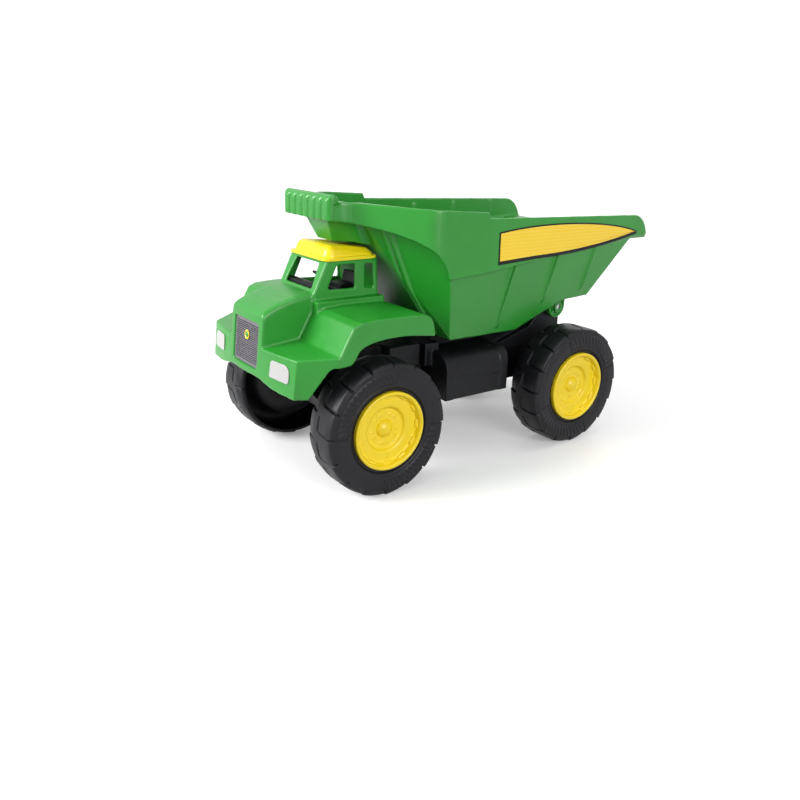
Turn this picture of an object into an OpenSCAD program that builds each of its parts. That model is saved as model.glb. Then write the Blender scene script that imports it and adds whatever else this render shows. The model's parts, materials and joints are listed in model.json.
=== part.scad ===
// Toy dump truck, in millimetres.
// X points to the truck's left, Y to its rear and Z up. Shapes are drawn with Y = 0 at the front
// axle, and place() moves them so that the origin is under the middle of the truck.

/* [Wheels] */
// Distance between the axles
wheelbase = 214; // [212:1:216]
// Outside radius of a tyre
tyre_r = 55; // [54:0.5:56]
// Distance from the truck's middle to the middle of a tyre
track_half = 77.5; // [77:0.5:79]
// Outside radius of a hub's lip
hub_r = 32.2; // [32:0.1:33]
// Tread blocks on each side of a tyre
tread_blocks = 16; // [12:1:20]
// Diameter of the axles and of the bed's hinge pin
pin_d = 5; // [4.8:0.1:5]

/* [Bed] */
// Thickness of the moulded walls
wall = 2.6; // [2.4:0.1:2.8]
// Half width of the bed's floor
floor_half = 67.5; // [66:0.5:68]
// Outward lean of the hopper's sides, as run over rise
side_lean = 0.3; // [0.29:0.005:0.3]
// Height of the hinge pin
pivot_z = 120; // [119.8:0.1:120.2]
// Distance of the hinge pin behind the front axle
pivot_y = 229; // [228:0.5:229]

/* [Cab] */
// Half width over the wings
wing_half = 88; // [87:0.5:89]
// Radius of the bowed front, seen from above
bow_r = 360; // [340:10:400]
// Half width of the bonnet
bonnet_half = 27; // [26:0.5:27.5]
// Half width of the cab
cab_half = 28.5; // [28:0.25:28.5]
// Louvres in the grille
louvres = 20; // [16:1:22]

/* [Fits] */
// Radial clearance of a shaft in its hole
fit = 0.05; // [0.03:0.01:0.08]
// Gap between moving faces
gap = 0.3; // [0.3:0.05:0.4]

/* [Hidden] */
$fn = 96;

green = [0.2, 0.6, 0.2];
yellow = [1, 0.85, 0.1];
black = [0.16, 0.16, 0.17];
grey = [0.7, 0.72, 0.74];
steel = [0.75, 0.75, 0.78];

pin_r = pin_d / 2;
bore_r = pin_r + fit;
origin_back = 109.5;      // how far the origin lies behind the front axle
axle_half = 82.5;         // half length of an axle
boss_half = 59.5;         // half width over the chassis's axle bosses
beam_half = 34;           // half width of the chassis beam
beam_front = -62;
beam_bottom = 52;
deck_z = 106;             // top of the chassis beam under the cab and bed
ear_x = 40;               // inner face of the bed's hinge ears
rear_deck_z = 103;        // top of the chassis beam behind the bed's flat floor
far = 400;                // longer than the truck
wheels = [["front_left", 1, 0], ["front_right", -1, 0], ["rear_left", 1, wheelbase],
    ["rear_right", -1, wheelbase]];

// Lists of points: an outline moved in by d, and a curve through its two end points.
function unit(v) = v / norm(v);
function left_of(v) = [-v.y, v.x];
function inset(p, d) = [for (i = [0:len(p) - 1])
    let (n = len(p), a = left_of(unit(p[i] - p[(i + n - 1) % n])),
        b = left_of(unit(p[(i + 1) % n] - p[i])))
    p[i] + d * (a + b) / (1 + a * b)];
function bezier(p, steps) = [for (i = [0:steps]) let (t = i / steps, s = 1 - t)
    s * s * s * p[0] + 3 * s * s * t * p[1] + 3 * s * t * t * p[2] + t * t * t * p[3]];
function both_sides(p) = concat(p, [for (i = [len(p) - 1:-1:0]) [-p[i].x, p[i].y]]);
function arc(c, r, a0, a1, steps) = [for (i = [0:steps]) let (a = a0 + (a1 - a0) * i / steps)
    c + r * [cos(a), sin(a)]];

module place() translate([0, -origin_back, 0]) children();
module both() { children(); mirror([1, 0, 0]) children(); }
// A (Y, Z) outline made into a solid from x0 to x1.
module across(x0, x1) translate([x0, 0, 0]) rotate([90, 0, 90]) linear_extrude(x1 - x0) children();
// An (X, Z) outline made into a solid from y0 to y1.
module along(y0, y1) translate([0, y1, 0]) rotate([90, 0, 0]) linear_extrude(y1 - y0) children();
// A cylinder along X from x0 to x1, at (y, z).
module rod(x0, x1, r, y, z) translate([x0, y, z]) rotate([0, 90, 0]) cylinder(r = r, h = x1 - x0);
// Two outlines with equally many points, joined by flat sides.
module loft(low, z0, high, z1) {
    n = len(low);
    polyhedron(concat([for (p = low) [p.x, p.y, z0]], [for (p = high) [p.x, p.y, z1]]),
        concat([[for (i = [0:n - 1]) i], [for (i = [n - 1:-1:0]) n + i]],
            [for (i = [0:n - 1]) [i, n + i, n + (i + 1) % n, (i + 1) % n]]));
}

// ---------------------------------------------------------------- bed

base_z = 111.5;           // underside of the bed's floor at its front edge
rim_front = 224.6;        // the rim at the handle
tail_y = 298;             // rear tip of the bed
handle_back = -11;
rib_places = [[129, 117], [179, 135.5], [228, 141.6]];

// Canopy and band seen from above, counter-clockwise, with its rear end at y1.
function bed_plan(y1) = both_sides(concat(
    [[32.5, -18]], bezier([[33.2, -9], [35.5, -1], [39, 3], [45, 7.6]], 5),
    bezier([[79, 35.6], [84.5, 40.2], [87, 43.5], [88, 50]], 5),
    [[band_x(94), 94], [band_x(y1), y1]]));
// Half width over the straight side band.
function band_x(y) = 91 - (y - 94) * 4 / 182;
function counter(p) = [for (i = [len(p) - 1:-1:0]) p[i]];

// The rim, seen from the side.
rim = concat([[-40, 225.6], [42, 221.6], [92, 218.5], [94, 213.9], [276, 209.3]],
    bezier([[280, 209], [288, 207.5], [295.5, 201], [tail_y, 188]], 6));
// The lower edge of the canopy's skirt and of the side band.
skirt = concat([[-40, 213.5]], bezier([[-17.4, 209.9], [22, 206.5], [50, 194], [58, 167.2]], 8),
    [[310, 192]]);
// The floor, seen from the side, with the chute at its rear.
floor_line = [[-40, 113], [77, base_z], [155, 110.5], [206, 133.3], [241, 134.9], [275, 187.4],
    [330, 187.8]];
hopper_side = concat(floor_line, [[330, 250], [-40, 250]]);
// Underside of the trough that carries the load forward over the cab.
trough_side = [[-30, 192], [10, 191.4], [30, 187.5], [60, 187.5], [60, 250], [-30, 250]];

// Front faces of the hopper at height z: a middle face, and a face swept back on each side.
middle_lean = 0.68;
sweep_x = 0.55;
sweep_z = 0.46;
function front_plan(z, t) =
    let (h = z - base_z, m = 78 - middle_lean * h + t * norm([1, middle_lean]),
        s = 77.5 - sweep_z * h + t * norm([1, sweep_x, sweep_z]),
        x = floor_half + (m - s) / sweep_x, y = s + sweep_x * (100 - floor_half))
    [[-x, m], [x, m], [100, y], [100, 330], [-100, 330], [-100, y]];
module front_faces(t) loft(front_plan(100, t), 100, front_plan(240, t), 240);

// Half width of the hopper at (y, z).
function hopper_half(y, z) = floor_half + side_lean * (z - base_z) - 0.025 * (y - 77);
function side_plan(z, t) = let (d = t * norm([1, side_lean, 0.025]),
    a = hopper_half(-40, z) - d, b = hopper_half(330, z) - d)
    [[-a, -40], [a, -40], [b, 330], [-b, 330]];
module side_faces(t) loft(side_plan(100, t), 100, side_plan(250, t), 250);

// The trough at height z: a narrow front face, a slanting cheek and a side wall on each side.
function trough_plan(z, t) = let (h = z - 208.5, y0 = -11.4 - 0.47 * h + 1.1 * t,
    x0 = 17 + 0.34 * h - 0.4 * t, x1 = 26 + 0.27 * (z - 190) - 1.04 * t,
    y1 = y0 + (x1 - x0) / 0.85)
    [[-x0, y0], [x0, y0], [x1, y1], [x1, 60], [-x1, 60], [-x1, y1]];
module trough_walls(t) loft(trough_plan(186, t), 186, trough_plan(250, t), 250);

module hopper(t) intersection() {
    front_faces(t);
    side_faces(t);
    across(-100, 100) polygon(inset(hopper_side, t));
}
module trough(t) intersection() {
    trough_walls(t);
    across(-60, 60) polygon([for (p = trough_side) p + [0, p.y < 200 ? t : 0]]);
}
module under_rim(down) across(-100, 100) polygon(concat([[-40, 90]], [[310, 90]],
    counter([for (p = rim) p - [0, down]])));
module over_skirt(up) across(-100, 100) polygon(concat([for (p = skirt) p + [0, up]],
    [[310, 250], [-40, 250]]));

module bed_outside() intersection() {
    linear_extrude(250) polygon(bed_plan(tail_y));
    under_rim(0);
    union() {
        over_skirt(0);
        hopper(0);
        trough(0);
    }
}
module bed_inside() intersection() {
    linear_extrude(260) polygon(inset(bed_plan(tail_y + 30), wall));
    union() {
        hopper(wall);
        intersection() {
            front_faces(wall);
            over_skirt(wall);
        }
        difference() {
            trough(wall);
            // top plate behind the handle
            difference() {
                translate([-50, -50, 200]) cube([100, 48, 60]);
                under_rim(wall);
            }
        }
    }
}
// The space under the canopy's top plate, between its skirt and the hopper.
module canopy_hollow() difference() {
    intersection() {
        linear_extrude(250) polygon(inset(bed_plan(tail_y), wall));
        under_rim(wall);
        over_skirt(-30);
        translate([-100, -40, 0]) cube([200, 100, 250]);
    }
    front_faces(0);
    trough(0);
}
// One rib on the outside of the hopper's side, from height z0 up to the band.
module side_rib(y, z0) {
    z1 = 162 + 0.1 * y;
    across_y = 2.8;
    top = min(3.4, band_x(y) - hopper_half(y, z1) - 0.2);
    along(y - across_y / 2, y + across_y / 2) polygon([[hopper_half(y, z0) - 1, z0],
        [hopper_half(y, z0) + 0.8, z0], [hopper_half(y, z0 + 4) + 2.4, z0 + 4],
        [hopper_half(y, z1) + top, z1], [hopper_half(y, z1) - 1, z1]]);
}
// A slim upright rib on the inside of the band.
module band_rib(y) translate([band_x(y) - wall - 1.2, y - 1, 179 + 0.1 * (y - 153)])
    cube([2, 2, 28.5 - 0.09 * (y - 153)]);
// A pair of slim ribs down each swept front face.
module front_strips() difference() {
    intersection() {
        front_faces(-2.2);
        both() for (x = [44.5, 49.3]) translate([x, 0, 114]) cube([2.2, 90, 92]);
    }
    front_faces(0.6);
}
// A grip with seven scallops across its front, rounded over the top.
module handle() {
    scallop = 10;
    scallop_r = 6.2;
    intersection() {
        union() {
            for (i = [-3:3]) translate([i * scallop, scallop_r - 22.4, 205])
                cylinder(r = scallop_r, h = 30);
            translate([-34, -16, 205]) cube([68, 5, 30]);
        }
        across(-40, 40) polygon(concat([[-17.4, 210], [-17.4, 222.5], [handle_back, 222.5]],
            bezier([[handle_back, 223.5], [-12.2, 228], [-15, 230.2], [-17.5, 229.6]], 5),
            bezier([[-19, 229], [-22, 227.5], [-22.6, 225], [-22.6, 221]], 5),
            [[-22.6, 211.5], [-21, 210]]));
    }
}
module eyelet() {
    across(ear_x, 46) polygon([[pivot_y - 10.5, pivot_z], [pivot_y + 10.5, pivot_z],
        [pivot_y + 10.5, 136], [212, 134.8]]);
    rod(ear_x, 46, 10.5, pivot_y, pivot_z);
}
// A ring-shaped recess in the ear's outer face, with four spokes across it.
module ear_recess() difference() {
    rod(43.4, 47, 8.8, pivot_y, pivot_z);
    rod(43, 48, 5.8, pivot_y, pivot_z);
    for (a = [45, 135]) translate([43, pivot_y, pivot_z]) rotate([a, 0, 0])
        translate([0, -0.8, -9]) cube([4, 1.6, 18]);
}
module dump_bed() color(green) place() difference() {
    union() {
        difference() {
            bed_outside();
            bed_inside();
            canopy_hollow();
        }
        both() {
            for (r = rib_places) side_rib(r[0], r[1]);
            for (y = [153, 203, 254]) band_rib(y);
        }
        front_strips();
        handle();
        both() eyelet();
        // stop that meets the chassis when the bed is fully tipped
        translate([-25, pivot_y + 3.4, pivot_z + 3.4]) cube([50, 5.6, 12]);
    }
    rod(-60, 60, bore_r, pivot_y, pivot_z);
    both() ear_recess();
}

// A thin label on the band's outer face.
module decal() {
    thick = 0.35;
    intersection() {
        linear_extrude(250) polygon([[band_x(94), 94], [band_x(94) + thick, 94],
            [band_x(290) + thick, 290], [band_x(290), 290]]);
        across(80, 95) polygon(concat([[104.6, 176.2]],
            bezier([[150, 178.4], [200, 179], [250, 185.4], [281, 192.2]], 6),
            bezier([[281.5, 194.6], [256, 204], [170, 211.5], [103.6, 202.6]], 6)));
    }
}
module bed_decal_left() color(yellow) place() decal();
module bed_decal_right() color(yellow) place() mirror([1, 0, 0]) decal();

// ---------------------------------------------------------------- cab

front_y = -79;            // middle of the bowed front, at height front_z
front_z = 92;
rake = 5.4;               // backward lean of the front, in degrees
cab_floor = 148.5;        // top of the plinth around the cab
cab_top = 178.5;
cab_wall = 2.4;
screw_places = [[19, -48], [24, 22]];
screw_r = 1.5;
screw_boss_r = 4.2;
grille_y = -74.85;        // middle of the grille's front face
grille_z = 115;
grille_thick = 1.4;

module bow(t, h = far) translate([0, front_y, front_z]) rotate([-rake, 0, 0])
    translate([0, bow_r, -h / 2]) cylinder(r = bow_r + t, h = h, $fn = 360);

function wing_plan() = both_sides([[71.5, -120], [71.5, -69.5], [wing_half, -44],
    [wing_half, 46.5]]);
// The bonnet's shelf, headlamp shoulder, wing top and rear edge, seen from the side.
wing_side = concat([[-130, 40], [46.5, 40], [46.5, 121], [45.8, 124]],
    bezier([[44, 134], [41.5, 142], [37, 143.2], [26, 143.4]], 5),
    [[-6, 144], [-24, 143], [-30.7, 140.2], [-42.6, 119.3], [-130, 110.6]]);
// The bonnet's top, seen from the side, with its rounded front edge.
bonnet_top = [[-20, 155.1], [-30, 155.1], [-45, 152.9], [-58, 149.2], [-67, 145.6],
    [-71.5, 143.2], [-74, 140.5], [-75.3, 136], [-90, 70]];
bonnet_round = 4;
function bonnet_section(x, z) = let (r = bonnet_round) concat([[-x, 60], [x, 60]],
    arc([x - r, z - r], r, 0, 90, 4), arc([r - x, z - r], r, 90, 180, 4));
plinth_side = [[-31, 100], [34.5, 100], [33, cab_floor], [-31, cab_floor]];
cabin_side = [[-28, 140], [31, 140], [29, cab_top], [-18.6, cab_top], [-30.3, 154]];

module cab_solid(t) {
    intersection() {
        across(-100, 100) polygon(inset(wing_side, t));
        linear_extrude(200) polygon(inset(wing_plan(), t));
        bow(-t);
    }
    intersection() {
        hull() for (p = bonnet_top) translate([0, min(p.x, -20 - t), 0]) rotate([90, 0, 0])
            linear_extrude(0.01) polygon(bonnet_section(bonnet_half - t, p.y - 1.05 * t));
        bow(-t);
    }
    across(-34.5 + t, 34.5 - t) polygon(inset(plinth_side, t));
}
module cab_windows() {
    across(-40, 40) polygon([[-17.6, 156.3], [8, 155.8], [7.8, 175], [-9, 175]]);
    across(-40, 40) polygon([[17.8, 155], [25.8, 154.6], [24.8, 174.2], [17.6, 174.4]]);
    along(-40, -8) polygon([[-21, 156.8], [21, 156.8], [17.8, 176.4], [-17.8, 176.4]]);
}
// The lower edge: an arch over each wheel with a step at its front, and a bumper that is
// shallower in the middle.
module cab_underside() {
    across(-100, 100) polygon(concat([[60, 0], [60, 123.4], [45.8, 124.2]],
        bezier([[30, 126.4], [14, 129], [-16, 129], [-25, 121.8]], 8),
        [[-28, 117], [-30.5, 113.4], [-33.5, 111.4], [-47, 111], [-49.5, 109], [-63, 85.4],
            [-63, 0]]));
    along(-110, -50) polygon([[-100, 0], [100, 0], [100, 85.8], [71.5, 86.4], [46, 87.8],
        [40.5, 88.7], [25, 92], [20, 92.4], [-20, 92.4], [-25, 92], [-40.5, 88.7], [-46, 87.8],
        [-71.5, 86.4], [-100, 85.8]]);
}
module cab_body() color(green) place() difference() {
    union() {
        cab_solid(0);
        across(-cab_half, cab_half) polygon(cabin_side);
    }
    difference() {
        union() {
            cab_solid(wall);
            translate([-23, -24, 140]) cube([46, 47, 20]);
        }
        // bosses for the screws, and the wall behind the grille
        both() for (s = screw_places) translate([s[0], s[1], 60])
            cylinder(r = screw_boss_r, h = 100);
        translate([-23, -80, 95]) cube([46, 10, 41]);
    }
    intersection() {
        grille_outline(0.1);
        grille_slab(-20, grille_thick);
    }
    difference() {
        across(-cab_half + cab_wall, cab_half - cab_wall)
            polygon(inset(cabin_side, cab_wall));
        translate([-50, -60, 0]) cube([100, 120, cab_floor]);
    }
    translate([-cab_half + cab_wall, -16, cab_top - 4])
        cube([2 * (cab_half - cab_wall), 42, 6]);
    cab_windows();
    cab_underside();
    translate([-beam_half, beam_front, 60]) cube([2 * beam_half, 120, deck_z - 60]);
    both() for (s = screw_places) translate([s[0], s[1], deck_z - 1])
        cylinder(r = screw_r + fit, h = 14);
}

// A rounded rectangle of half sizes x and y, from z0 to z1.
module pad(x, y0, y1, z0, z1, r) hull() for (a = [-x + r, x - r], b = [y0 + r, y1 - r])
    translate([a, b, z0]) cylinder(r = r, h = z1 - z0, $fn = 32);
module dome(d) {
    r = 7 - d;
    top_r = 6.5 - d;
    intersection() {
        hull() for (side = [-1, 1]) {
            for (y = [-11, 20.4]) translate([side * 20.7, y, 180.4]) cylinder(r = r, h = 2, $fn = 32);
            translate([side * 20.2, -10.6, 183.5]) sphere(r = top_r, $fn = 32);
            translate([side * 20.2, 19.6, 180.5]) sphere(r = top_r, $fn = 32);
        }
        translate([-40, -40, 180.5]) cube([80, 80, 20]);
    }
}
module cab_roof() color(yellow) place() difference() {
    union() {
        pad(30, -20.8, 29.4, cab_top, 181, 6);
        dome(0);
    }
    intersection() {
        dome(2);
        translate([-40, -40, 180.6]) cube([80, 80, 20]);
    }
    translate([-22, -13, cab_top - 1]) cube([44, 34, 3.2]);
}

module cab_interior() color(black) place() {
    across(-25.6, 25.6) polygon([[-26.6, cab_floor], [26, cab_floor], [26, 150.3], [-10, 150.3],
        [-13.5, 155.9], [-20.3, 159.8], [-25, 159.2]]);
    across(-9, 9) polygon([[6, 150.3], [23.5, 150.3], [24.5, 163.5], [20.8, 164.5], [18.6, 155.5],
        [6.5, 155]]);
}
// Ring, three spokes and column; the column's end stands on the dash's sloping face.
module steering_wheel() color(black) place() translate([9, -16.9, 157.85]) rotate([-29.8, 0, 0]) {
    cylinder(r = 1.2, h = 8);
    translate([0, 0, 8]) rotate_extrude() translate([6, 0]) circle(r = 0.9, $fn = 24);
    for (a = [90, 210, 330]) translate([0, 0, 8]) rotate([0, 90, a]) cylinder(r = 0.7, h = 5.6,
        $fn = 24);
}

// The layer from t0 to t1 in front of the bowed face.
module front_layer(t0, t1) difference() {
    bow(t1);
    bow(t0, far + 2);
}
// The flat grille lies in a pocket of the front, and leans back with it.
module grille_outline(t) along(-100, -50) hull() for (x = [-17.8, 17.8], z = [100.4, 130.6])
    translate([x, z]) circle(r = 2.8 + t, $fn = 32);
module grille_slab(t0, t1) translate([0, grille_y, grille_z]) rotate([-rake, 0, 0])
    translate([-30, t0, -40]) cube([60, t1 - t0, 80]);
module grille_panel() color(black) place() difference() {
    intersection() {
        grille_outline(0);
        grille_slab(0, grille_thick);
    }
    pitch = 31 / louvres;
    intersection() {
        for (i = [0:louvres - 1]) translate([-18.8, -90, 100.2 + i * pitch])
            cube([37.6, 30, pitch * 0.5]);
        grille_slab(-20, 0.9);
    }
}
module grille_badge() color(grey) place() intersection() {
    grille_slab(-0.6, 0);
    translate([0, -60, 121]) rotate([90, 0, 0]) cylinder(r = 3.8, h = 40);
}
module headlight() intersection() {
    front_layer(0, 0.9);
    along(-100, -50) polygon(concat([[41, 98.6], [42, 97.8], [62.8, 97.2], [64.4, 98.8]],
        arc([58, 104.6], 6.4, 0, 90, 6), [[43.4, 111], [41.6, 109.4]]));
}
module headlight_left() color(grey) place() headlight();
module headlight_right() color(grey) place() mirror([1, 0, 0]) headlight();

module cab_screws() color(steel) place() both() for (s = screw_places) {
    translate([s[0], s[1], deck_z - wall]) mirror([0, 0, 1]) cylinder(r = 3, h = 1.8);
    translate([s[0], s[1], deck_z - wall]) cylinder(r = screw_r, h = 12);
}

// ---------------------------------------------------------------- chassis

tank_y = [74, 145];
tank_x = 33;
tank_half = 70;
tank_bottom = 58.5;
tank_top = 98;
tank_round = 14;

beam_side = [[-16, beam_bottom], [236, beam_bottom], [246, 62], [246, rear_deck_z],
    [162, rear_deck_z], [150, deck_z], [beam_front, deck_z], [beam_front, 93], [-52, 93]];
// The chassis is one closed hollow shell.
module beam_hollow() across(-beam_half + wall, beam_half - wall) polygon(inset(beam_side, wall));
module tank_section(t, x0, z0) polygon(concat([[x0, z0], [tank_half + t, z0]],
    arc([tank_half - tank_round, tank_top - tank_round], tank_round + t, 0, 90, 8),
    [[x0, tank_top + t]]));
module tank() difference() {
    union() {
        along(tank_y[0], tank_y[1]) tank_section(0, tank_x, tank_bottom);
        for (y = [tank_y[0], tank_y[1] - 9]) along(y, y + 9)
            tank_section(0.8, tank_x, tank_bottom);
        translate([tank_x, tank_y[0] + 10, 76]) cube([tank_half + 0.8 - tank_x, 50, 1.6]);
    }
    along(tank_y[0] + wall, tank_y[1] - wall)
        tank_section(-wall, beam_half, tank_bottom + wall);
}
module axle_boss(y) {
    rod(22, boss_half, 10, y, tyre_r);
    for (a = [-60, 0, 60, 120, 180, 240]) translate([0, y, tyre_r]) rotate([a, 0, 0])
        translate([beam_half - 1, 0, -1.2]) cube([16, 16, 2.4]);
}
module upright() {
    across(33, ear_x - gap) polygon([[pivot_y + 10.5, 84], [pivot_y + 10.5, pivot_z],
        [pivot_y - 9, pivot_z + 5.4], [200, rear_deck_z], [150, 88], [150, 84]]);
    rod(33, ear_x - gap, 10.5, pivot_y, pivot_z);
}
// Blocks beside the beam, behind the front wheels.
module side_blocks() {
    translate([33, 30, 88]) cube([15, 32, 19]);
    translate([33, 66, 86]) cube([17, 15, 20]);
}
// Pads on which the bed's floor rests.
function floor_under(y) = base_z - (y - 77) / 78;
module rest_pads() for (y = [95, 138]) translate([16, y, deck_z - 1])
    cube([16, 10, floor_under(y + 10) - gap - deck_z + 1]);
module chassis() color(black) place() difference() {
    union() {
        difference() {
            across(-beam_half, beam_half) polygon(beam_side);
            beam_hollow();
        }
        both() {
            tank();
            for (y = [0, wheelbase]) axle_boss(y);
            upright();
            side_blocks();
            rest_pads();
        }
        // stop for the tipped bed
        translate([-beam_half, pivot_y - 5, rear_deck_z - 1])
            cube([2 * beam_half, 11, pivot_z - 3.2 - rear_deck_z + 1]);
    }
    for (y = [0, wheelbase]) rod(-70, 70, bore_r, y, tyre_r);
    rod(-60, 60, bore_r, pivot_y, pivot_z);
    // screw holes in the deck, and access to them from below
    both() for (s = screw_places) {
        translate([s[0], s[1], 90]) cylinder(r = screw_r + fit, h = 30);
        translate([s[0], s[1], beam_bottom - 1]) cylinder(r = 3.6, h = 46);
    }
}

module front_axle() color(steel) place() rod(-axle_half, axle_half, pin_r, 0, tyre_r);
module rear_axle() color(steel) place() rod(-axle_half, axle_half, pin_r, wheelbase, tyre_r);
module hinge_pin() color(steel) place() rod(-47, 47, pin_r, pivot_y, pivot_z);
module ring(x0, x1, r, y, z) difference() {
    rod(x0, x1, r, y, z);
    rod(x0 - 1, x1 + 1, bore_r, y, z);
}
module hinge_clips() color(steel) place() both() ring(46 + gap, 48, 5.2, pivot_y, pivot_z);
module axle_push_nuts() color(steel) place() both() for (y = [0, wheelbase])
    ring(track_half + 2 + gap, track_half + 3.8, 5.5, y, tyre_r);

// ---------------------------------------------------------------- wheels

// Turns a shape drawn about Z into a wheel: Z becomes the outward side.
module at_wheel(w) place() translate([w[1] * track_half, w[2], tyre_r]) rotate([0, w[1] * 90, 0])
    children();
module tyre_shape() difference() {
    rotate_extrude() polygon([[tyre_r - 5, -18], [tyre_r - 3, -18], [tyre_r - 1, -14.5],
        [tyre_r, -9], [tyre_r, 13.2], [tyre_r - 0.7, 15.2], [tyre_r - 2.4, 16.4], [44, 16.8],
        [36, 15.8], [hub_r + fit, 15.8], [hub_r + fit, -10], [8 + fit, -10],
        [8 + fit, -10 - wall], [hub_r + wall, -10 - wall], [hub_r + wall, 12.8], [43.8, 13.8],
        [tyre_r - 6, 12.8], [tyre_r - 3, 8.5], [tyre_r - 3, -8]]);
    step = 360 / tread_blocks;
    for (i = [0:tread_blocks - 1]) {
        rotate([0, 0, i * step]) translate([tyre_r - 1.6, -1.2, 1]) cube([4, 2.4, 20]);
        rotate([0, 0, (i + 0.5) * step]) translate([tyre_r - 1.6, -1.2, -20]) cube([4, 2.4, 19]);
    }
}
module hub_shape() {
    rotate_extrude() polygon([[bore_r, -17.5], [8, -17.5], [8, 5.5], [17, 5.5], [18.8, 8.4],
        [hub_r - 3, 8.4], [hub_r - 3, -10], [hub_r, -10], [hub_r, 16.6], [hub_r - 0.7, 17.3],
        [hub_r - 2.1, 17.3], [hub_r - 3.1, 16.2], [hub_r - 4.2, 12], [hub_r - 5.2, 11.2],
        [19.6, 11.2], [18.2, 10.6], [17.2, 8.6], [16.2, 8], [6, 8], [6, 2], [bore_r, 2]]);
    // wheel nuts in pairs
    for (i = [0:4], s = [-1, 1]) rotate([0, 0, i * 72 + s * 12]) translate([12.2, 0, 7.9])
        cylinder(r = 1, h = 0.9, $fn = 24);
    // raised pads around the foot of the rim
    for (i = [0:11]) rotate([0, 0, i * 30]) translate([hub_r - 5.4, -3.2, 11])
        cube([2, 6.4, 2.4]);
}
module cap_shape() {
    rise = 4.6;
    foot_r = 7.6;
    dome_r = (foot_r * foot_r + rise * rise) / (2 * rise);
    translate([0, 0, 6.4]) cylinder(r = 6 - fit, h = 1.6);
    intersection() {
        translate([0, 0, 8 + rise - dome_r]) sphere(r = dome_r);
        translate([0, 0, 8]) cylinder(r = 10, h = 10);
    }
}

chassis();
cab_body();
cab_roof();
cab_interior();
steering_wheel();
grille_panel();
grille_badge();
headlight_left();
headlight_right();
cab_screws();
dump_bed();
bed_decal_left();
bed_decal_right();
hinge_pin();
hinge_clips();
front_axle();
rear_axle();
axle_push_nuts();
for (w = wheels) {
    color(black) at_wheel(w) tyre_shape();
    color(yellow) at_wheel(w) hub_shape();
    color(yellow) at_wheel(w) cap_shape();
}
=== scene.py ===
"""Toy dump truck: moulded shapes, materials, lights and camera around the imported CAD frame.

Metres, in the row frame: X to the truck's left, Y to its rear, Z up.
"""

import json
import math

import bmesh
import bpy
import numpy as np
from mathutils import Matrix, Vector, bvhtree, kdtree

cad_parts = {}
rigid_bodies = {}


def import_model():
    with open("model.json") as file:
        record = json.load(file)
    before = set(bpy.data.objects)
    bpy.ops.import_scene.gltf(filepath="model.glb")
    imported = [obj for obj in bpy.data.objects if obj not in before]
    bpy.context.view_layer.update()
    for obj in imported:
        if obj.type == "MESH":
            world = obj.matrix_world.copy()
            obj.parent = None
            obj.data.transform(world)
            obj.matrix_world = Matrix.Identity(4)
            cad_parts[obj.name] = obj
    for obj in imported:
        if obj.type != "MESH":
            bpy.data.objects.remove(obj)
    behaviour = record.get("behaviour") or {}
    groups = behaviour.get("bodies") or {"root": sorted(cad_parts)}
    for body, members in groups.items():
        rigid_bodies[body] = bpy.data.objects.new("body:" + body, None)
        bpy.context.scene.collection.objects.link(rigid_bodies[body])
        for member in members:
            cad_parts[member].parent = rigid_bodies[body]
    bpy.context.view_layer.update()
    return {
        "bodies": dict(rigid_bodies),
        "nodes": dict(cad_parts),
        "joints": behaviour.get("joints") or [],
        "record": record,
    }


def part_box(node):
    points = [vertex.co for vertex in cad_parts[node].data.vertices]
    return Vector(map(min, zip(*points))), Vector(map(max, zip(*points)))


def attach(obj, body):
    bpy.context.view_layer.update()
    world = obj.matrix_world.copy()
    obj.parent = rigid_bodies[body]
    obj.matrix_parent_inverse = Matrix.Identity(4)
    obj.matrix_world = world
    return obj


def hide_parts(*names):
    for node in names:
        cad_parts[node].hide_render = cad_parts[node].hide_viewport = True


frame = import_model()
NODES = frame["nodes"]
MM = 0.001
SIDES = ("left", "right")
# The truck, in mm
WHEELBASE = 214.0
ORIGIN_BACK = 109.5  # the origin lies this far behind the front axle
TYRE_R = 55.0
TRACK_HALF = 77.5
FRONT_LEAN = math.radians(5.4)  # backward lean of the cab's front
SLOT_DEEP = 0.45  # what lies deeper in the grille than this is a slot's floor, which gets painted shade
# The stage, in metres
STAGE_R = 12.0
STAGE_SIDES = 64
STAGE_WHITE = 1.05  # emission of the backdrop and of the floor far out


# ---------------------------------------------------------------- camera and light


def add_camera():
    place = Vector((0.545, -0.4388, 0.2803))
    azimuth, elevation, roll = (math.radians(a) for a in (53.725, 18.641, 1.817))
    back = Vector(
        (
            math.sin(azimuth) * math.cos(elevation),
            -math.cos(azimuth) * math.cos(elevation),
            math.sin(elevation),
        )
    )
    right = (-back).cross(Vector((0, 0, 1))).normalized()
    up = right.cross(-back)
    turned_right = math.cos(roll) * right + math.sin(roll) * up
    turned_up = math.cos(roll) * up - math.sin(roll) * right
    data = bpy.data.cameras.new("camera")
    data.lens = 34.79
    data.sensor_width = 36
    data.shift_x = 0.0078
    data.shift_y = -0.0165
    camera = bpy.data.objects.new("camera", data)
    axes = Matrix((turned_right, turned_up, back)).transposed().to_4x4()
    camera.matrix_world = Matrix.Translation(place) @ axes
    bpy.context.scene.collection.objects.link(camera)
    bpy.context.scene.camera = camera


def add_area(name, place, target, size, watts):
    data = bpy.data.lights.new(name, "AREA")
    data.shape = "DISK"
    data.size = size
    data.energy = watts
    light = bpy.data.objects.new(name, data)
    light.location = place
    aim = Vector(target) - Vector(place)
    light.rotation_euler = aim.to_track_quat("-Z", "Y").to_euler()
    light.visible_camera = False
    bpy.context.scene.collection.objects.link(light)


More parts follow.
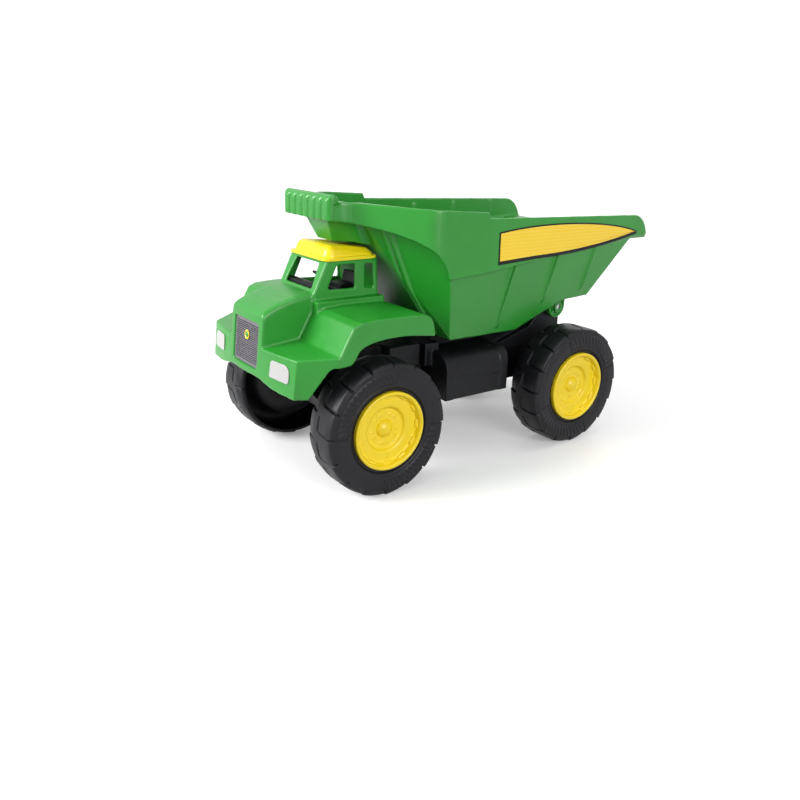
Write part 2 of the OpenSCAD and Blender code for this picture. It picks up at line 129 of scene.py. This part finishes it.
def add_lights():
    add_area("key", (-0.4, -1.25, 0.68), (0, 0, 0.12), 0.8, 26)
    add_area("top", (0.1, 0.15, 1.5), (0, 0, 0.1), 0.8, 4)
    add_area("side", (1.5, -0.2, 0.65), (0, 0, 0.1), 0.9, 15)
    add_area("behind", (-0.6, 1.3, 0.9), (0, 0, 0.1), 0.8, 3)
    world = bpy.data.worlds.new("studio")
    world.use_nodes = True
    background = world.node_tree.nodes["Background"]
    background.inputs["Color"].default_value = (1, 1, 1, 1)
    background.inputs["Strength"].default_value = 0.32
    bpy.context.scene.world = world
    bpy.context.scene.view_settings.view_transform = "Standard"


# ---------------------------------------------------------------- materials


def node_tools(material):
    tree = material.node_tree

    def add(kind, **sockets):
        node = tree.nodes.new(kind)
        for name, value in sockets.items():
            node.inputs[name.replace("_", " ")].default_value = value
        return node

    return tree, add, tree.links.new


def plastic(name, colour, roughness, grain=900.0, grain_depth=0.00004, tint=0.06, shine=0.5):
    """Moulded plastic: a fine orange-peel grain, slow waviness, and uneven gloss and tint."""
    material = bpy.data.materials.new(name)
    material.use_nodes = True
    tree, add, link = node_tools(material)
    shader = tree.nodes["Principled BSDF"]
    shader.inputs["Specular IOR Level"].default_value = shine
    place = add("ShaderNodeTexCoord").outputs["Object"]

    slow = add("ShaderNodeTexNoise", Scale=28.0, Detail=3.0)
    link(place, slow.inputs["Vector"])
    tones = add("ShaderNodeValToRGB")
    tones.color_ramp.elements[0].position = 0.3
    tones.color_ramp.elements[1].position = 0.7
    tones.color_ramp.elements[0].color = (*[c * (1 - tint) for c in colour], 1)
    tones.color_ramp.elements[1].color = (*[min(1, c * (1 + tint)) for c in colour], 1)
    link(slow.outputs["Fac"], tones.inputs["Fac"])
    link(tones.outputs["Color"], shader.inputs["Base Color"])

    scuffs = add("ShaderNodeTexNoise", Scale=160.0, Detail=5.0, Roughness=0.65)
    link(place, scuffs.inputs["Vector"])
    gloss = add("ShaderNodeMapRange")
    gloss.inputs["From Min"].default_value = 0.3
    gloss.inputs["From Max"].default_value = 0.7
    gloss.inputs["To Min"].default_value = roughness - 0.05
    gloss.inputs["To Max"].default_value = roughness + 0.06
    link(scuffs.outputs["Fac"], gloss.inputs["Value"])
    link(gloss.outputs["Result"], shader.inputs["Roughness"])

    fine = add("ShaderNodeTexNoise", Scale=grain, Detail=2.0)
    link(place, fine.inputs["Vector"])
    peel = add("ShaderNodeBump", Distance=grain_depth, Strength=0.6)
    link(fine.outputs["Fac"], peel.inputs["Height"])
    wave = add("ShaderNodeBump", Distance=0.0004, Strength=0.35)
    link(slow.outputs["Fac"], wave.inputs["Height"])
    link(peel.outputs["Normal"], wave.inputs["Normal"])
    link(wave.outputs["Normal"], shader.inputs["Normal"])
    return material


def bare_metal(name, colour):
    """Plain metal with the same grain and uneven gloss as the plastic."""
    material = plastic(name, colour, 0.32, grain=500.0)
    material.node_tree.nodes["Principled BSDF"].inputs["Metallic"].default_value = 1.0
    return material


def printed(name, colour, light):
    """Printed film with fine light lines along its length."""
    material = plastic(name, colour, 0.34, tint=0.02)
    tree, add, link = node_tools(material)
    shader = tree.nodes["Principled BSDF"]
    base = shader.inputs["Base Color"].links[0].from_socket
    lines = add("ShaderNodeTexWave", Scale=110.0, Distortion=0.35)
    lines.bands_direction = "Z"
    link(add("ShaderNodeTexCoord").outputs["Object"], lines.inputs["Vector"])
    thin = add("ShaderNodeMapRange")
    thin.inputs["From Min"].default_value = 0.72
    thin.inputs["From Max"].default_value = 0.95
    thin.inputs["To Max"].default_value = 0.4
    link(lines.outputs["Fac"], thin.inputs["Value"])
    mix = tree.nodes.new("ShaderNodeMix")
    mix.data_type = "RGBA"
    link(thin.outputs["Result"], mix.inputs["Factor"])
    link(base, mix.inputs["A"])
    mix.inputs["B"].default_value = (*light, 1)
    link(mix.outputs["Result"], shader.inputs["Base Color"])
    return material


GREEN = plastic("green_plastic", (0.014, 0.25, 0.018), 0.34)
YELLOW = plastic("yellow_plastic", (0.88, 0.66, 0.004), 0.30, tint=0.03)
BLACK = plastic("black_plastic", (0.005, 0.0055, 0.007), 0.40, grain=700.0, shine=0.17)
TYRE = plastic(
    "tyre_plastic", (0.009, 0.009, 0.0115), 0.42, grain=600.0, grain_depth=0.00006, shine=0.2
)
GRILLE = plastic("grille_plastic", (0.13, 0.122, 0.14), 0.45)
# near-black material for the grille's slot floors: painted shade in the recesses
GRILLE_SLOT_SHADE = plastic("grille_slot_painted_shade", (0.015, 0.014, 0.017), 0.5)
LAMP = plastic("lamp_plastic", (0.47, 0.47, 0.46), 0.32, tint=0.02)
FILM = printed("decal_film", (0.93, 0.62, 0.012), (1.0, 0.80, 0.16))
FILM_DARK = plastic("decal_border", (0.004, 0.0045, 0.004), 0.34, shine=0.2)
STEEL = bare_metal("steel", (0.55, 0.55, 0.57))


# ---------------------------------------------------------------- mesh helpers


def new_object(name, mesh, material):
    obj = bpy.data.objects.new(name, mesh)
    bpy.context.scene.collection.objects.link(obj)
    mesh.materials.clear()
    mesh.materials.append(material)
    return obj


def apply_modifiers(obj):
    bpy.context.view_layer.update()
    graph = bpy.context.evaluated_depsgraph_get()
    mesh = bpy.data.meshes.new_from_object(obj.evaluated_get(graph))
    obj.modifiers.clear()
    obj.data = mesh
    return mesh


EDGE_CELLS = 1.5  # cells beside an edge that stay as the smoothing left them
SMOOTH_REACH = 1.1  # how far smoothing reaches, in cells for each root of its passes
SHARP_ANGLE = math.radians(14.0)


def soft_mesh(node, voxel, passes, keep):
    """The mesh of a CAD node with its sharp edges rounded and its faces near where they were.

    The node is remeshed into small cells and smoothed. Then each point that is far from any
    sharp edge of the CAD shape goes back onto its face, and the mesh is thinned out.
    """
    cad = bmesh.new()
    cad.from_mesh(NODES[node].data)
    bmesh.ops.remove_doubles(cad, verts=cad.verts, dist=1e-6)
    mesh = bpy.data.meshes.new(node)
    cad.to_mesh(mesh)
    obj = bpy.data.objects.new(node + "_work", mesh)
    bpy.context.scene.collection.objects.link(obj)
    remesh = obj.modifiers.new("cells", "REMESH")
    remesh.mode = "VOXEL"
    remesh.voxel_size = voxel
    smooth = obj.modifiers.new("round", "SMOOTH")
    smooth.factor = 0.5
    smooth.iterations = passes
    mesh = apply_modifiers(obj)

    edge_points = []
    for edge in cad.edges:
        if len(edge.link_faces) != 2 or edge.calc_face_angle() > SHARP_ANGLE:
            a, b = (v.co for v in edge.verts)
            steps = max(1, math.ceil((b - a).length / voxel))
            edge_points += [a.lerp(b, i / steps) for i in range(steps + 1)]
    edges = kdtree.KDTree(len(edge_points))
    for i, p in enumerate(edge_points):
        edges.insert(p, i)
    edges.balance()
    faces = bvhtree.BVHTree.FromBMesh(cad)
    near = EDGE_CELLS * voxel
    far = near + SMOOTH_REACH * voxel * math.sqrt(passes)
    for vertex in mesh.vertices:
        distance = edges.find(vertex.co)[2]
        if distance > near:
            t = min(1.0, (distance - near) / (far - near))
            on_face = faces.find_nearest(vertex.co)[0]
            vertex.co = vertex.co.lerp(on_face, t * t * (3 - 2 * t))
    cad.free()

    thin = obj.modifiers.new("thin", "DECIMATE")
    thin.ratio = keep
    mesh = apply_modifiers(obj)
    mesh.shade_smooth()
    bpy.data.objects.remove(obj)
    return mesh


def weight_normals(obj):
    weighted = obj.modifiers.new("normals", "WEIGHTED_NORMAL")
    weighted.weight = 80


def soft_piece(node, body, material, voxel, passes, keep):
    obj = new_object(node + "_moulded", soft_mesh(node, voxel, passes, keep), material)
    weight_normals(obj)
    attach(obj, body)
    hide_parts(node)


def outline_inset(points, amounts):
    """A counter-clockwise outline with side i, from point i to i + 1, moved in by amounts[i]."""
    count = len(points)
    lines = []
    for i, (y, z) in enumerate(points):
        y2, z2 = points[(i + 1) % count]
        length = math.hypot(y2 - y, z2 - z)
        ny, nz = -(z2 - z) / length, (y2 - y) / length
        lines.append((ny, nz, ny * y + nz * z + amounts[i]))
    moved = []
    for i in range(count):
        a, b, c = lines[i - 1]
        d, e, f = lines[i]
        det = a * e - b * d
        moved.append(((c * e - b * f) / det, (a * f - c * d) / det))
    return moved


def bezier(points, steps):
    result = []
    for i in range(steps + 1):
        t = i / steps
        s = 1 - t
        weights = (s**3, 3 * s * s * t, 3 * s * t * t, t**3)
        result.append(tuple(sum(w * p[k] for w, p in zip(weights, points)) for k in (0, 1)))
    return result


# ---------------------------------------------------------------- tyres

BLOCKS = 16
PITCH = 2 * math.pi * TYRE_R / BLOCKS  # along the tread, in mm
GROOVE_HALF = 0.85
GROOVE_EDGE = 0.2  # half width of the slope at a groove's side
GROOVE_DEPTH = 2.2
SHOULDER_FULL = 14.0  # axial place from which a shoulder block has its whole fall
OUTER_DROP = 1.0
INNER_DROP = 0.9
# Grooves as (axial place, place along the tread) lines, in mm, within one pitch
GROOVES = (
    ((-2.6, 0.5), (-2.4, 10.6)),
    ((-2.4, 10.6), (-0.8, 12.4)),
    ((-0.8, 12.4), (15.8, 14.6)),
    ((-18.5, 17.0), (-8.8, 18.8)),
)
# Outside of the tyre as (radius, axial place), from the open inner edge round to the bead
TYRE_OUTSIDE = (
    (50.0, -18.0),
    (52.2, -17.9),
    (53.6, -16.4),
    (54.6, -13.6),
    (55.0, -8.6),
    (55.0, 12.6),
    (54.7, 14.0),
    (54.0, 15.2),
    (52.9, 16.0),
    (51.2, 16.4),
    (43.5, 16.7),
    (36.6, 16.1),
    (35.4, 15.4),
    (34.6, 13.9),
    (32.3, 13.7),
)
TYRE_INSIDE = (
    (32.3, -9.9),
    (8.2, -9.9),
    (8.2, -12.5),
    (34.8, -12.5),
    (34.8, 12.0),
    (43.8, 13.2),
    (48.6, 12.6),
    (51.6, 8.5),
    (51.6, -8.0),
)


def distance_to(line, x, y):
    (x0, y0), (x1, y1) = line
    dx, dy = x1 - x0, y1 - y0
    t = np.clip(((x - x0) * dx + (y - y0) * dy) / (dx * dx + dy * dy), 0, 1)
    return np.hypot(x - x0 - t * dx, y - y0 - t * dy)


def ramp(value, low, high):
    t = np.clip((value - low) / (high - low), 0, 1)
    return t * t * (3 - 2 * t)


def block_fall(axial, along, start, first):
    """From 0 to 1 along each shoulder block; the blocks begin at first and fade in from start."""
    return ramp(axial, start, SHOULDER_FULL) * ((along - first) % PITCH) / PITCH


def tread_relief(axial, along):
    """How far the tread lies below its full height, in mm."""
    depth = np.zeros_like(along)
    for line in GROOVES:
        for shift in (-PITCH, 0, PITCH):
            gap = distance_to(line, axial, along + shift)
            wall = 1 - ramp(gap, GROOVE_HALF - GROOVE_EDGE, GROOVE_HALF + GROOVE_EDGE)
            depth = np.maximum(depth, GROOVE_DEPTH * wall)
    # each shoulder block falls away towards its groove, which gives the stepped outline
    outer = block_fall(axial, along, 8.0, 14.4)
    inner = block_fall(-axial, along, 9.0, 17.4)
    return depth + OUTER_DROP * outer + INNER_DROP * inner


# The side wall's two arcs, in mm and degrees
ARC_R = 44
ARC_EDGES = (37.8, 50.2)
ARC_START = 6.7
ARC_SPAN = 95.0
BAR_PITCH = 4.6
BAR_SLANT = 0.45
BAR_RISE = 0.55
FRAME_DEPTH = 0.8


def wall_relief(radius, angle):
    """Plain slanted bars in two framed arcs on the side wall, in mm."""
    turn = (np.degrees(angle) - ARC_START) % 180.0
    reach = np.radians(turn) * ARC_R
    end = np.radians(ARC_SPAN) * ARC_R
    inner, outer = ARC_EDGES
    to_frame = np.minimum(np.minimum(reach, end - reach), np.minimum(radius - inner, outer - radius))
    frame = 1 - ramp(np.abs(to_frame - 0.6), 0.25, 0.65)
    slanted = reach + BAR_SLANT * (radius - ARC_R)
    bar = np.abs((slanted + BAR_PITCH / 2) % BAR_PITCH - BAR_PITCH / 2)
    bars = (1 - ramp(bar, 0.95, 1.35)) * ramp(to_frame, 2.0, 2.4)
    return BAR_RISE * bars - FRAME_DEPTH * frame


def resample(points, spacing):
    """Points about spacing apart along a line of points, which keeps the corners."""
    result = []
    for (r0, a0), (r1, a1) in zip(points, points[1:]):
        steps = max(1, round(math.hypot(r1 - r0, a1 - a0) / spacing))
        result += [(r0 + (r1 - r0) * i / steps, a0 + (a1 - a0) * i / steps) for i in range(steps)]
    return result + [points[-1]]


TYRE_AROUND = 800  # points around a tyre
TYRE_SPACING = 0.55  # between points across its outside, in mm
TREAD_LOWEST = 50.5  # radius from which the outside counts as tread
WALL_HIGHEST = 51.0  # radius up to which it counts as side wall
WALL_FROM = 14  # axial place from which it does
WALL_FADE = (50.6, 51.2)


def tyre_mesh():
    """A left-hand tyre about the X axis; angle 0 is its front and a quarter turn its top."""
    around = TYRE_AROUND
    fine = resample(TYRE_OUTSIDE, TYRE_SPACING)
    profile = np.array(fine + list(TYRE_INSIDE))
    before = np.roll(profile, 1, axis=0)
    after = np.roll(profile, -1, axis=0)
    tangent = after - before
    tangent /= np.linalg.norm(tangent, axis=1)[:, None]
    normal = np.stack((tangent[:, 1], -tangent[:, 0]), axis=1)
    angle = np.arange(around) * 2 * math.pi / around
    angle_grid, radius = np.meshgrid(angle, profile[:, 0], indexing="ij")
    axial = np.broadcast_to(profile[:, 1], radius.shape)
    along = (-angle_grid * TYRE_R) % PITCH
    push = np.zeros_like(radius)
    outside = np.arange(len(profile)) < len(fine)
    tread = outside & (profile[:, 0] > TREAD_LOWEST)
    wall = outside & (profile[:, 0] < WALL_HIGHEST) & (profile[:, 1] > WALL_FROM)
    push[:, tread] -= tread_relief(axial, along)[:, tread]
    fade = 1 - ramp(radius, *WALL_FADE)
    push[:, wall] += (wall_relief(radius, angle_grid) * fade)[:, wall]
    radius = radius + push * normal[:, 0]
    axial = axial + push * normal[:, 1]
    points = np.stack((axial, -radius * np.cos(angle_grid), radius * np.sin(angle_grid)), axis=-1)
    ring = len(profile)
    i, j = np.meshgrid(np.arange(around), np.arange(ring), indexing="ij")
    i2, j2 = (i + 1) % around, (j + 1) % ring
    faces = np.stack((i * ring + j, i * ring + j2, i2 * ring + j2, i2 * ring + j), axis=-1)
    mesh = bpy.data.meshes.new("tyre")
    mesh.from_pydata((points.reshape(-1, 3) * MM).tolist(), [], faces.reshape(-1, 4).tolist())
    mesh.validate()
    tidy = bmesh.new()
    tidy.from_mesh(mesh)
    bmesh.ops.recalc_face_normals(tidy, faces=tidy.faces)
    tidy.to_mesh(mesh)
    tidy.free()
    mesh.shade_smooth()
    return mesh


def wheel_place(end, side, turn):
    """Where a left-hand wheel drawn about the origin goes; turn is in degrees."""
    y = {"front": -ORIGIN_BACK, "rear": WHEELBASE - ORIGIN_BACK}[end]
    sign = 1 if side == "left" else -1
    spot = Matrix.Translation(Vector((sign * TRACK_HALF, y, TYRE_R)) * MM)
    flip = Matrix.Rotation(0 if side == "left" else math.pi, 4, "Z")
    return spot @ flip @ Matrix.Rotation(math.radians(-turn), 4, "X")


def add_wheels():
    tyre = tyre_mesh()
    home = wheel_place("front", "left", 0).inverted()
    shared = {}
    for part, voxel, passes, keep in (("hub_", 0.00045, 4, 0.35), ("hub_cap_", 0.0003, 2, 0.5)):
        shared[part] = soft_mesh(part + "front_left", voxel, passes, keep)
        shared[part].transform(home)
    turns = {
        ("front", "left"): -4.7,
        ("rear", "left"): 62,
        ("front", "right"): 20,
        ("rear", "right"): 75,
    }
    for (end, side), turn in turns.items():
        wheel = end + "_" + side
        for part, mesh, material, slot in (
            ("tyre_", tyre, TYRE, "tyre_plastic"),
            ("hub_", shared["hub_"], YELLOW, "yellow_plastic"),
            ("hub_cap_", shared["hub_cap_"], YELLOW, "yellow_plastic"),
        ):
            mesh = mesh.copy()
            mesh.transform(wheel_place(end, side, turn if part == "tyre_" else 0))
            obj = new_object(part + wheel + "_moulded", mesh, material)
            if part != "tyre_":
                weight_normals(obj)
            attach(obj, "wheel_" + wheel)
            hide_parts(part + wheel)


# ---------------------------------------------------------------- decals and badge


def band_x(y):
    """Half width over the bed's side band, in mm, at y behind the front axle."""
    return 91 - (y - 94) * 4 / 182


def sheet_mesh(name, outline, lift, thick):
    """A thin plate on the band's face: an outline of (y, z), in mm behind the front axle."""
    shape = bmesh.new()
    layers = []
    for rise in (lift, lift + thick):
        corners = [Vector((band_x(y) + rise, y - ORIGIN_BACK, z)) * MM for y, z in outline]
        layers.append([shape.verts.new(corner) for corner in corners])
    low, high = layers
    shape.faces.new(list(reversed(low)))
    shape.faces.new(high)
    count = len(outline)
    for i in range(count):
        k = (i + 1) % count
        shape.faces.new((low[i], low[k], high[k], high[i]))
    bmesh.ops.recalc_face_normals(shape, faces=shape.faces)
    mesh = bpy.data.meshes.new(name)
    shape.to_mesh(mesh)
    shape.free()
    return mesh


def add_decals():
    low = bezier(((150, 178.4), (200, 179), (250, 185.4), (281, 192.2)), 14)
    high = bezier(((281.5, 194.6), (256, 204), (170, 211.5), (103.6, 202.6)), 18)
    outline = [(104.6, 176.2)] + low + high
    border = [3.0] + [2.9] * len(low) + [1.3] * (len(high) - 1) + [1.5]
    inner = outline_inset(outline, border)
    for side in SIDES:
        sign = 1 if side == "left" else -1
        flip = Matrix.Scale(sign, 4, Vector((1, 0, 0)))
        plates = (
            ("decal_border_" + side, outline, 0.02, 0.2, FILM_DARK),
            ("decal_field_" + side, inner, 0.22, 0.12, FILM),
        )
        for name, shape, lift, thick, material in plates:
            mesh = sheet_mesh(name, shape, lift, thick)
            mesh.transform(flip)
            if side == "right":
                mesh.flip_normals()
            obj = new_object(name, mesh, material)
            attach(obj, "bed")
            if name.startswith("decal_field"):
                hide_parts("bed_decal_" + side)


def lathe_mesh(name, profile, around=64):
    """A closed shape turned about Z from (radius, height) points, which start and end at radius 0."""
    shape = bmesh.new()
    rings = []
    for radius, height in profile:
        if radius == 0:
            rings.append([shape.verts.new((0, 0, height))])
        else:
            angles = [2 * math.pi * i / around for i in range(around)]
            ring = [(radius * math.cos(a), radius * math.sin(a), height) for a in angles]
            rings.append([shape.verts.new(p) for p in ring])
    for a, b in zip(rings, rings[1:]):
        for i in range(around):
            k = (i + 1) % around
            corners = [a[i % len(a)], a[k % len(a)], b[k % len(b)], b[i % len(b)]]
            shape.faces.new(list(dict.fromkeys(corners)))
    bmesh.ops.recalc_face_normals(shape, faces=shape.faces)
    mesh = bpy.data.meshes.new(name)
    shape.to_mesh(mesh)
    shape.free()
    mesh.shade_smooth()
    return mesh


def add_badge():
    """A plain round badge: a yellow rim around a green button."""
    low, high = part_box("grille_badge")
    centre = (low + high) / 2
    r = (high.x - low.x) / 2
    turn = Matrix.Rotation(math.pi / 2 - FRONT_LEAN, 4, "X")
    rim = (
        (0, 0),
        (r, 0),
        (r, 0.0004),
        (0.92 * r, 0.0007),
        (0.76 * r, 0.0007),
        (0.72 * r, 0.0003),
        (0, 0.0003),
    )
    button = ((0, 0.0003), (0.66 * r, 0.0003), (0.6 * r, 0.0006), (0.3 * r, 0.0008), (0, 0.00085))
    back = Vector((0, 0.00035, 0))
    for name, profile, material in (("badge_rim", rim, YELLOW), ("badge_button", button, GREEN)):
        obj = new_object(name, lathe_mesh(name, profile), material)
        obj.matrix_world = Matrix.Translation(centre + back) @ turn
        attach(obj, "truck")
        if name == "badge_rim":
            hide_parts("grille_badge")


def paint_slot_shade():
    """The floors of the grille's slots get a near-black material: painted shade in the recesses."""
    mesh = bpy.data.objects["grille_panel_moulded"].data
    mesh.materials.append(GRILLE_SLOT_SHADE)
    inward = Vector((0, math.cos(FRONT_LEAN), -math.sin(FRONT_LEAN)))
    face = min(v.co @ inward for v in mesh.vertices)
    for polygon in mesh.polygons:
        if polygon.center @ inward - face > SLOT_DEEP * MM:
            polygon.material_index = 1


# ---------------------------------------------------------------- truck and bed

add_camera()
add_lights()
quick = 1.0
for node, body, material, slot, voxel, passes, keep in (
    ("cab_body", "truck", GREEN, "green_plastic", 0.0007, 9, 0.25),
    ("dump_bed", "bed", GREEN, "green_plastic", 0.0008, 5, 0.25),
    ("cab_roof", "truck", YELLOW, "yellow_plastic", 0.0005, 6, 0.25),
    ("cab_interior", "truck", BLACK, "black_plastic", 0.0005, 6, 0.25),
    ("chassis", "truck", BLACK, "black_plastic", 0.0008, 4, 0.25),
    ("grille_panel", "truck", GRILLE, "grille_plastic", 0.00025, 2, 0.4),
    ("headlight_left", "truck", LAMP, "lamp_plastic", 0.0003, 4, 0.3),
    ("headlight_right", "truck", LAMP, "lamp_plastic", 0.0003, 4, 0.3),
    ("steering_wheel", "truck", BLACK, "black_plastic", 0.00025, 2, 0.4),
):
    soft_piece(node, body, material, voxel * quick, passes, keep)
# painted shade: the grille's slot floors get the near-black material
paint_slot_shade()
add_wheels()
add_decals()
add_badge()
for node, obj in NODES.items():
    obj.data.materials.clear()
    obj.data.materials.append(GREEN if node == "hinge_clips" else STEEL)


# ---------------------------------------------------------------- floor


def add_floor():
    """A white floor that turns into plain glowing white further out, like the backdrop."""
    material = bpy.data.materials.new("floor")
    material.use_nodes = True
    tree, add, link = node_tools(material)
    shader = tree.nodes["Principled BSDF"]
    shader.inputs["Roughness"].default_value = 0.7
    shader.inputs["Emission Color"].default_value = (1, 1, 1, 1)
    away = add("ShaderNodeVectorMath")
    away.operation = "LENGTH"
    link(add("ShaderNodeTexCoord").outputs["Object"], away.inputs[0])
    for socket, near, outer in (("Emission Strength", 0.24, STAGE_WHITE), ("Base Color", 0.9, 0.0)):
        blend = add("ShaderNodeMapRange")
        blend.interpolation_type = "SMOOTHSTEP"
        blend.inputs["From Min"].default_value = 0.24
        blend.inputs["From Max"].default_value = 0.7
        blend.inputs["To Min"].default_value = near
        blend.inputs["To Max"].default_value = outer
        link(away.outputs["Value"], blend.inputs["Value"])
        link(blend.outputs["Result"], shader.inputs[socket])
    mesh = bpy.data.meshes.new("floor")
    corners = [(STAGE_R * math.cos(a), STAGE_R * math.sin(a), 0) for a in stage_angles()]
    mesh.from_pydata(corners, [], [tuple(range(len(corners)))])
    floor = new_object("floor", mesh, material)
    unlit_around(floor)


def stage_angles():
    return [2 * math.pi * i / STAGE_SIDES for i in range(STAGE_SIDES)]


def unlit_around(obj):
    """The object shows to the camera and in reflections, and lights nothing by itself."""
    obj.visible_diffuse = False
    obj.visible_shadow = False


def add_backdrop():
    material = bpy.data.materials.new("backdrop")
    material.use_nodes = True
    shader = material.node_tree.nodes["Principled BSDF"]
    shader.inputs["Base Color"].default_value = (0, 0, 0, 1)
    shader.inputs["Emission Color"].default_value = (1, 1, 1, 1)
    shader.inputs["Emission Strength"].default_value = STAGE_WHITE
    height = 0.9 * STAGE_R
    low = [(STAGE_R * math.cos(a), STAGE_R * math.sin(a), -0.01) for a in stage_angles()]
    high = [(x, y, height) for x, y, _ in low]
    count = len(low)
    walls = [(i, (i + 1) % count, count + (i + 1) % count, count + i) for i in range(count)]
    mesh = bpy.data.meshes.new("backdrop")
    mesh.from_pydata(low + high, [], walls + [tuple(range(count, 2 * count))])
    backdrop = new_object("backdrop", mesh, material)
    unlit_around(backdrop)


add_floor()
add_backdrop()
